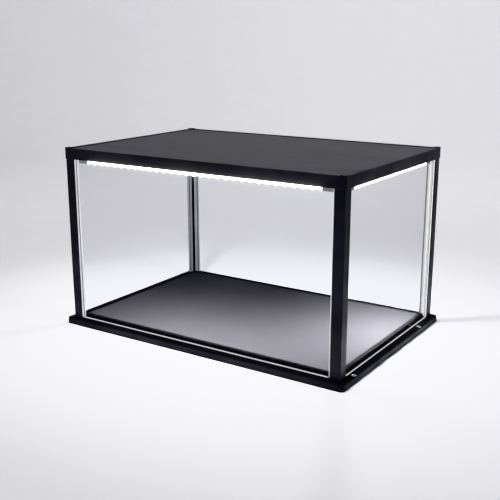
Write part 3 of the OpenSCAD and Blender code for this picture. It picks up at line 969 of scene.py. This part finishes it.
class DISPLAYBOX_OT_screw_eyelets(bpy.types.Operator):
    """Four turned eyelets with rolled flanges, for the screws that hold the board down"""

    bl_idname = "display_box.screw_eyelets"
    bl_label = "Screw Eyelets"

    def execute(self, context):
        sizes = context.scene.box_sizes
        low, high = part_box("screw_eyelets")
        bore, barrel, flange = sizes.eyelet_bore, sizes.eyelet_barrel, sizes.eyelet_flange
        under, top = high.z - sizes.eyelet_flange_t, high.z
        roll = sizes.eyelet_flange_t / 2
        profile = [(bore, low.z), (barrel, low.z), (barrel, under), (flange - roll, under)]
        roll_steps = 8
        for step in range(1, roll_steps + 1):
            swing = -QUARTER + math.pi * step / roll_steps
            profile.append((flange - roll + roll * math.cos(swing), under + roll + roll * math.sin(swing)))
        profile += [(bore + out, top - down) for out, down in MOUTH]
        pattern = turn_profile("eyelet_pattern", profile)
        places = four_places("screw_eyelets", flange)
        copies = [copy_of(pattern, "eyelet", (x, y, 0)) for x, y in places]
        discard(pattern)
        dress(join("screw_eyelets_piece", copies), "bright_steel", "case", "screw_eyelets")
        return {"FINISHED"}


class DISPLAYBOX_OT_posts(bpy.types.Operator):
    """Four corner posts of L section"""

    bl_idname = "display_box.posts"
    bl_label = "Corner Posts"

    def execute(self, context):
        sizes = context.scene.box_sizes
        low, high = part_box("post_fl")
        leg, wall = high.x - low.x, sizes.post_wall

        def leg_ends(middle, way):
            return upright(middle, way) and max(middle.x, middle.y) > leg - NEAR

        pattern = add_block("post_pattern", (0, 0, low.z), (wall, wall, high.z))
        pull_faces(pattern, lambda middle, normal: normal.x > ALONG, (leg - wall, 0, 0))
        pull_faces(pattern, lambda middle, normal: normal.y > ALONG and middle.x < wall, (0, leg - wall, 0))
        clean_flats(pattern)
        round_edges(pattern, outer_upright, sizes.post_edge, steps=5)
        round_edges(pattern, leg_ends, sizes.arris / 2, steps=2)
        for corner, (x, y, turns) in CORNERS.items():
            node = "post_" + corner
            post = copy_of(pattern, node + "_piece", outer_corner(node, x, y), turns)
            dress(post, "black_frame", "case", node)
        discard(pattern)
        return {"FINISHED"}


class DISPLAYBOX_OT_panes(bpy.types.Operator):
    """Four glass panes with arrised edges"""

    bl_idname = "display_box.panes"
    bl_label = "Glass Panes"

    def execute(self, context):
        sizes = context.scene.box_sizes
        for _, first, second in PAIRS:
            pane = add_block(f"glass_{first}_piece", *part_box("glass_" + first))
            round_edges(pane, lambda middle, way: True, sizes.arris, steps=2)
            dress(copy_of(pane, f"glass_{second}_piece", turns=2), "clear_glass", "case", "glass_" + second)
            dress(pane, "clear_glass", "case", "glass_" + first)
        return {"FINISHED"}


class DISPLAYBOX_OT_pane_seals(bpy.types.Operator):
    """Four frosted channels that the panes stand in"""

    bl_idname = "display_box.pane_seals"
    bl_label = "Pane Seals"

    def execute(self, context):
        sizes = context.scene.box_sizes
        for turns, first, second in PAIRS:
            low, high = facing_front("pane_seal_" + first, turns)

            def lip_edges(middle, way):
                return lengthwise(middle, way) and middle.z > high.z - NEAR

            pattern = channel("seal", low, high, sizes.seal_web, sizes.seal_lip_out, sizes.seal_lip_in)
            round_edges(pattern, lip_edges, sizes.arris / 2, steps=3)
            for side, more in ((first, 0), (second, 2)):
                node = "pane_seal_" + side
                dress(copy_of(pattern, node + "_piece", turns=turns + more), "frosted_seal", "case", node)
            discard(pattern)
        return {"FINISHED"}


class DISPLAYBOX_OT_beads(bpy.types.Operator):
    """Eight frosted beads that hold the panes against the posts"""

    bl_idname = "display_box.beads"
    bl_label = "Glazing Beads"

    def execute(self, context):
        sizes = context.scene.box_sizes
        low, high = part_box("bead_x_fl")
        half = (high - low) / 2

        def by_glass(middle, way):
            return upright(middle, way) and middle.y < -half.y + NEAR

        pattern = add_block("bead_pattern", -half, half)
        round_edges(pattern, lambda middle, way: upright(middle, way) and middle.y > 0, sizes.bead_round, steps=5)
        round_edges(pattern, by_glass, sizes.arris / 2, steps=2)
        for corner, (x, y, _) in CORNERS.items():
            for axis, inward in (("x", 0 if y < 0 else 2), ("y", 3 if x < 0 else 1)):
                node = f"bead_{axis}_{corner}"
                dress(copy_of(pattern, node + "_piece", middle_of(node), inward), "frosted_bead", "case", node)
        discard(pattern)
        return {"FINISHED"}


class DISPLAYBOX_OT_lid_rails(bpy.types.Operator):
    """Four hollow, mitred lid rails with a ledge for the lid panel"""

    bl_idname = "display_box.lid_rails"
    bl_label = "Lid Rails"

    def execute(self, context):
        sizes = context.scene.box_sizes
        rails = {}
        for turns, first, second in PAIRS:
            pattern = self.rail_pattern(sizes, first, turns)
            for side, more in ((first, 0), (second, 2)):
                rails[side] = copy_of(pattern, f"lid_rail_{side}_piece", turns=turns + more)
            discard(pattern)
        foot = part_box("lid_rail_right")[0].z
        for rail in rails.values():
            for place in four_places("lid_pins", PIN):
                drill(rail, PIN_HOLE, place, foot - OVERLAP, foot + sizes.rail_wall + PIN_HOLE_PAST)
        for side, rail in rails.items():
            dress(rail, "black_frame", "lid", "lid_rail_" + side)
        return {"FINISHED"}

    def rail_pattern(self, sizes, side, turns):
        """A side's rail, turned to the front: stepped, hollow, mitred and recessed for the caps."""
        wall = sizes.rail_wall
        low, high = facing_front("lid_rail_" + side, turns)
        reach = -facing_front("lid_rail_" + ("left" if turns == 0 else "front"), turns)[0].x
        rim = facing_front("lid_panel", turns)[0].y - sizes.cap_clearance
        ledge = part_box("lid_panel")[0].z

        def outer_edges(middle, way):
            return lengthwise(middle, way) and middle.y < low.y + NEAR

        def rim_edge(middle, way):
            return lengthwise(middle, way) and middle.z > high.z - NEAR and middle.y > rim - NEAR

        def inner_foot(middle, way):
            return lengthwise(middle, way) and middle.z < low.z + NEAR and middle.y > high.y - NEAR

        def outer_corners(middle, way):
            return upright(middle, way) and middle.y < low.y + NEAR

        rail = add_block("rail", (-reach, low.y, low.z), (reach, rim, high.z))
        slice_at(rail, (0, 0, ledge), (0, 0, 1))
        pull_faces(rail, lambda middle, normal: normal.y > ALONG and middle.z < ledge, (0, high.y - rim, 0))
        clean_flats(rail)
        round_edges(rail, outer_edges, sizes.rail_edge, steps=5)
        round_edges(rail, rim_edge, sizes.arris, steps=3)
        round_edges(rail, inner_foot, sizes.arris, steps=3)
        hollow_low = (-reach - OVERLAP, low.y + wall, low.z + wall)
        combine(rail, add_block("hollow", hollow_low, (reach + OVERLAP, high.y - wall, ledge - wall)))
        wedge_high = (reach, high.y + OVERLAP, high.z + OVERLAP)
        wedge = add_block("wedge", (-reach, low.y, low.z - OVERLAP), wedge_high)
        round_edges(wedge, outer_corners, sizes.lid_corner, steps=8)
        slice_at(wedge, (reach, low.y, 0), (1, 1, 0), clear_outer=True)
        slice_at(wedge, (-reach, low.y, 0), (-1, 1, 0), clear_outer=True)
        combine(rail, wedge, "INTERSECT")
        cap_low, cap_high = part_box("lid_cap_fr")
        cap = cap_high.x - cap_low.x + sizes.cap_clearance
        cap_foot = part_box("lid_cap_fl")[0].z
        for end in (-1, 1):
            near, far = sorted((end * (reach - cap), end * (reach + OVERLAP)))
            recess_high = (far, low.y + cap, high.z + OVERLAP)
            combine(rail, add_block("recess", (near, low.y - OVERLAP, cap_foot), recess_high))
        return rail


class DISPLAYBOX_OT_lid_caps(bpy.types.Operator):
    """Four small caps on the lid's corners"""

    bl_idname = "display_box.lid_caps"
    bl_label = "Corner Caps"

    def execute(self, context):
        sizes = context.scene.box_sizes
        low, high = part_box("lid_cap_fl")
        side = high.x - low.x

        def other_uprights(middle, way):
            return upright(middle, way) and middle.x + middle.y > side - NEAR

        pattern = add_block("cap_pattern", (0, 0, low.z), (side, side, high.z))
        round_edges(pattern, outer_upright, sizes.lid_corner, steps=6)
        round_edges(pattern, other_uprights, sizes.arris, steps=2)
        round_edges(pattern, level_at(high.z), sizes.arris, steps=3)
        for corner, (x, y, turns) in CORNERS.items():
            node = "lid_cap_" + corner
            cap = copy_of(pattern, node + "_piece", outer_corner(node, x, y), turns)
            dress(cap, "black_cap", "lid", node)
        discard(pattern)
        return {"FINISHED"}


class DISPLAYBOX_OT_lid_panel(bpy.types.Operator):
    """Grey lid panel set in the rails"""

    bl_idname = "display_box.lid_panel"
    bl_label = "Lid Panel"

    def execute(self, context):
        sizes = context.scene.box_sizes
        panel = rounded_sheet("lid_panel_piece", "lid_panel", sizes.arris, sizes.arris, sizes.arris / 2)
        dress(panel, "grey_top", "lid", "lid_panel")
        return {"FINISHED"}


class DISPLAYBOX_OT_light_bars(bpy.types.Operator):
    """Two opal diffusers under the lid, with their end plugs"""

    bl_idname = "display_box.light_bars"
    bl_label = "Light Bars"

    def execute(self, context):
        sizes = context.scene.box_sizes
        plugs = []
        for turns, side, axis in ((0, "front", "X"), (1, "right", "Y")):
            node = "diffuser_" + side
            low, high = facing_front(node, turns)

            def lower_edges(middle, way):
                return lengthwise(middle, way) and middle.z < low.z + NEAR

            pattern = channel("bar", low, high, sizes.bar_wall, sizes.bar_wall, sizes.bar_wall)
            round_edges(pattern, lower_edges, sizes.bar_round, steps=6)
            last_chip = facing_front("led_chips_" + side, turns)[1].x
            bar = copy_of(pattern, node + "_piece", turns=turns)
            bar.data.materials.append(lit_diffuser(node, axis, last_chip - FADE_START))
            dress(bar, "diffuser", "lid", node)
            discard(pattern)
            for end, face in ((-1, low.x), (1, high.x)):
                tip = face + end * PLUG
                near, far = sorted((face, tip))
                plug = add_block("plug", (near, low.y, low.z), (far, high.y, high.z))
                round_edges(plug, lambda middle, way: abs(middle.x - tip) < NEAR, sizes.arris, steps=3)
                plugs.append(copy_of(plug, "end_plug", turns=turns))
                discard(plug)
        dress(join("diffuser_ends_piece", plugs), "grey_plastic", "lid", "diffuser_ends")
        return {"FINISHED"}


class DISPLAYBOX_OT_power_inlet(bpy.types.Operator):
    """Turned power inlet in the back rail"""

    bl_idname = "display_box.power_inlet"
    bl_label = "Power Inlet"

    def execute(self, context):
        sizes = context.scene.box_sizes
        low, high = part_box("power_inlet")
        flange = (high.z - low.z) / 2
        centre = (low + high) / 2
        bore, barrel, thick = sizes.socket_bore, sizes.socket_barrel, sizes.socket_flange_t
        rim, mouth, back_edge, pin_edge = sizes.arris, 0.0006, 0.0002, 0.0004  # roundings
        eased = rim * 0.3  # how far in from both faces the middle of the rounded rim lies
        profile = [
            (bore, -SOCKET_DEPTH),
            (barrel, -SOCKET_DEPTH),
            (barrel, 0),
            (flange, 0),
            (flange, thick - rim),
            (flange - eased, thick - eased),
            (flange - rim, thick),
            (bore + mouth, thick),
            (bore, thick - mouth),
        ]
        body = turn_profile("inlet_barrel", profile)
        back_face = -SOCKET_DEPTH + SOCKET_BACK
        back = add_rod("inlet_back", bore, (0, 0, -SOCKET_DEPTH), (0, 0, back_face))
        round_edges(back, level_at(back_face), back_edge, steps=2)
        pin = add_rod("inlet_pin", sizes.socket_pin, (0, 0, back_face), (0, 0, -SOCKET_PIN_TIP), sides=24)
        round_edges(pin, level_at(-SOCKET_PIN_TIP), pin_edge, steps=3)
        for part, slot in ((body, "black_plastic"), (back, "black_plastic"), (pin, "bright_steel")):
            part.data.materials.append(finish(slot))
        inlet = join("power_inlet_piece", [body, back, pin])
        hole = add_rod("inlet_hole", barrel + SOCKET_PLAY, (0, 0, -2 * sizes.rail_wall), (0, 0, OVERLAP))
        for shape in (inlet, hole):
            shape.rotation_euler.x = -QUARTER
            shape.location = (centre.x, high.y - thick, centre.z)
            settle(shape)
        combine(bpy.data.objects["lid_rail_back_piece"], hole)
        dress(inlet, "black_plastic", "lid", "power_inlet")
        return {"FINISHED"}


class DISPLAYBOX_OT_fittings(bpy.types.Operator):
    """Finishes for the solids that show as they are: bars, pins, screws, tapes, keys, chips and leads"""

    bl_idname = "display_box.fittings"
    bl_label = "Small Fittings"

    def execute(self, context):
        for entry in frame["record"]["subparts"]:
            solid = frame["nodes"][entry["node"]]
            if not solid.hide_render:
                solid.data.materials.clear()
                solid.data.materials.append(finish(entry["material_slot"]))
        return {"FINISHED"}


# ---------------------------------------------------------------- studio


def add_sweep(paper):
    """The pale floor and the wall that it bends up into, facing inwards."""
    profile = [(SWEEP_FLAT, 0.0)]
    for step in range(1, SWEEP_STEPS + 1):
        swing = QUARTER * step / SWEEP_STEPS
        profile.append((SWEEP_FLAT + SWEEP_BEND * math.sin(swing), SWEEP_BEND - SWEEP_BEND * math.cos(swing)))
    profile.append((SWEEP_FLAT + SWEEP_BEND, SWEEP_TOP))
    sweep = turn_profile("studio_sweep", profile, steps=96, closed=False)
    start_edit(sweep)
    bpy.ops.mesh.select_all(action="SELECT")
    bpy.ops.mesh.normals_make_consistent(inside=True)
    end_edit()
    bpy.ops.object.shade_smooth_by_angle(angle=SWEEP_SMOOTH)
    sweep.data.materials.append(studio_paper(paper))
    return sweep


def soft_lamp(name, place, turn, wide, deep, watts):
    """An area lamp."""
    select_only()
    bpy.ops.object.light_add(type="AREA", location=place, rotation=turn)
    lamp = just_added(name)
    lamp.data.shape = "RECTANGLE"
    lamp.data.size, lamp.data.size_y = wide, deep
    lamp.data.energy = watts
    lamp.data.color = bpy.context.scene.box_stage.lamp_colour
    return lamp


def lid_lamp(name, place, turns, wide, deep, watts, spread, receivers):
    """A lamp that looks down, rides with the lid, lights only some pieces and isn't seen itself."""
    lamp = soft_lamp(name, place, (0, 0, QUARTER * turns), wide, deep, watts)
    lamp.data.spread = spread
    lamp.light_linking.receiver_collection = receivers
    lamp.parent = frame["bodies"]["lid"]
    lamp.visible_camera = lamp.visible_transmission = lamp.visible_glossy = False


def lit_only(name, piece):
    """A collection of the one piece that a lamp lights."""
    receivers = bpy.data.collections.new(name)
    receivers.objects.link(piece)
    return receivers


def add_bar_lamps(stage, sweep):
    """The light of the bars on the floor panel and on the table round the box."""
    floor_only = lit_only("lit_by_the_bars", bpy.data.objects["floor_panel_piece"])
    sweep_only = lit_only("lit_through_the_panes", sweep)
    for side, light in BAR_LIGHT.items():
        along, pool_long = light["along"], light["pool_long"]
        chips_low, chips_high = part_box("led_chips_" + side)
        place = (chips_low + chips_high) / 2
        place.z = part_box("diffuser_" + side)[0].z - BAR_LAMP_GAP
        long = (chips_high - chips_low)[along]
        spill = stage.bar_power * long * light["spill"]
        lid_lamp("bar_spill_" + side, place, along, long, BAR_LAMP_WIDE, spill, BAR_SPREAD, sweep_only)
        place[along] += light["shift"]
        place.z -= light["drop"]
        pool = stage.pool_power * pool_long * light["pool"]
        lid_lamp("bar_pool_" + side, place, along, pool_long, BAR_LAMP_WIDE, pool, BAR_SPREAD, floor_only)
    under_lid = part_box("diffuser_front")[0].z - INNER_LAMP_GAP
    for side, x, y, share in INNER_LIGHT:
        watts = stage.inner_power * share
        size = (INNER_LAMP_SIDE, INNER_LAMP_SIDE)
        lid_lamp("inner_" + side, (x, y, under_lid), 0, *size, watts, INNER_SPREAD, sweep_only)


def add_studio_lamps(stage):
    """The large soft lamps round the box."""
    for name, place, target, wide, deep in STUDIO_LIGHT:
        turn = (Vector(target) - Vector(place)).to_track_quat("-Z", "Y").to_euler()
        soft_lamp(name + "_light", place, turn, wide, deep, getattr(stage, name + "_power"))


def add_surround(scene):
    """Even light from all round."""
    scene.world = bpy.data.worlds.new("surround")
    scene.world.use_nodes = True
    tree = scene.world.node_tree
    feed_all(tree, tree.nodes["Background"], Color=SURROUND, Strength=scene.box_stage.sky)


def add_camera(scene):
    """The camera at the photograph's place."""
    stage = scene.box_stage
    turn = (QUARTER - stage.camera_tilt, 0, stage.camera_turn)
    bpy.ops.object.camera_add(location=stage.camera_place, rotation=turn)
    scene.camera = bpy.context.object
    scene.camera.name = "photo_camera"
    lens = scene.camera.data
    lens.sensor_width, lens.lens, lens.clip_end = SENSOR, stage.camera_lens, FAR_CLIP


def set_picture(scene):
    """How light becomes colour, and the bloom round the lit bars."""
    scene.view_settings.view_transform = "Khronos PBR Neutral"
    scene.use_nodes = True
    tree = scene.node_tree
    tree.nodes.clear()
    picture = tree.nodes.new("CompositorNodeRLayers")
    glare = tree.nodes.new("CompositorNodeGlare")
    glare.glare_type, glare.quality = "BLOOM", "HIGH"
    result = tree.nodes.new("CompositorNodeComposite")
    feed_all(tree, glare, Image=picture.outputs["Image"], **BLOOM)
    feed_all(tree, result, Image=glare.outputs["Image"])


class DISPLAYBOX_OT_stage(bpy.types.Operator):
    """Pale studio sweep, soft lamps, the light of the bars and the camera"""

    bl_idname = "display_box.stage"
    bl_label = "Studio"

    def execute(self, context):
        stage = context.scene.box_stage
        add_bar_lamps(stage, add_sweep(stage.floor_colour))
        add_studio_lamps(stage)
        add_surround(context.scene)
        add_camera(context.scene)
        set_picture(context.scene)
        return {"FINISHED"}


# ---------------------------------------------------------------- add-on


class DISPLAYBOX_PT_sidebar(bpy.types.Panel):
    """Steps that build the display box, with its settings"""

    bl_idname = "DISPLAYBOX_PT_sidebar"
    bl_label = "Glass Display Box"
    bl_space_type = "VIEW_3D"
    bl_region_type = "UI"
    bl_category = "Display Box"

    def draw(self, context):
        for step in STEPS:
            self.layout.operator(step.bl_idname)
        for title, group in (("Sizes", "box_sizes"), ("Finishes", "box_finishes"), ("Studio", "box_stage")):
            settings = getattr(context.scene, group)
            part = self.layout.box()
            part.label(text=title)
            for name in settings.__annotations__:
                part.prop(settings, name)


STEPS = (
    DISPLAYBOX_OT_base_board,
    DISPLAYBOX_OT_floor_panel,
    DISPLAYBOX_OT_screw_eyelets,
    DISPLAYBOX_OT_posts,
    DISPLAYBOX_OT_panes,
    DISPLAYBOX_OT_pane_seals,
    DISPLAYBOX_OT_beads,
    DISPLAYBOX_OT_lid_rails,
    DISPLAYBOX_OT_lid_caps,
    DISPLAYBOX_OT_lid_panel,
    DISPLAYBOX_OT_light_bars,
    DISPLAYBOX_OT_power_inlet,
    DISPLAYBOX_OT_fittings,
    DISPLAYBOX_OT_stage,
)
SETTINGS = {"box_sizes": DisplayBoxSizes, "box_finishes": DisplayBoxFinishes, "box_stage": DisplayBoxStage}


def register():
    """Registers the settings, steps and panel."""
    for kind in (*SETTINGS.values(), *STEPS, DISPLAYBOX_PT_sidebar):
        bpy.utils.register_class(kind)
    for name, kind in SETTINGS.items():
        setattr(bpy.types.Scene, name, bpy.props.PointerProperty(type=kind))


def unregister():
    """Removes the settings, steps and panel."""
    for name in SETTINGS:
        delattr(bpy.types.Scene, name)
    for kind in reversed((*SETTINGS.values(), *STEPS, DISPLAYBOX_PT_sidebar)):
        bpy.utils.unregister_class(kind)


def main():
    """Builds the display box."""
    register()
    bpy.ops.display_box.base_board()
    bpy.ops.display_box.floor_panel()
    bpy.ops.display_box.screw_eyelets()
    bpy.ops.display_box.posts()
    bpy.ops.display_box.panes()
    bpy.ops.display_box.pane_seals()
    bpy.ops.display_box.beads()
    bpy.ops.display_box.lid_rails()
    bpy.ops.display_box.lid_caps()
    bpy.ops.display_box.lid_panel()
    bpy.ops.display_box.light_bars()
    bpy.ops.display_box.power_inlet()
    bpy.ops.display_box.fittings()
    bpy.ops.display_box.stage()


if __name__ == "__main__":
    main()
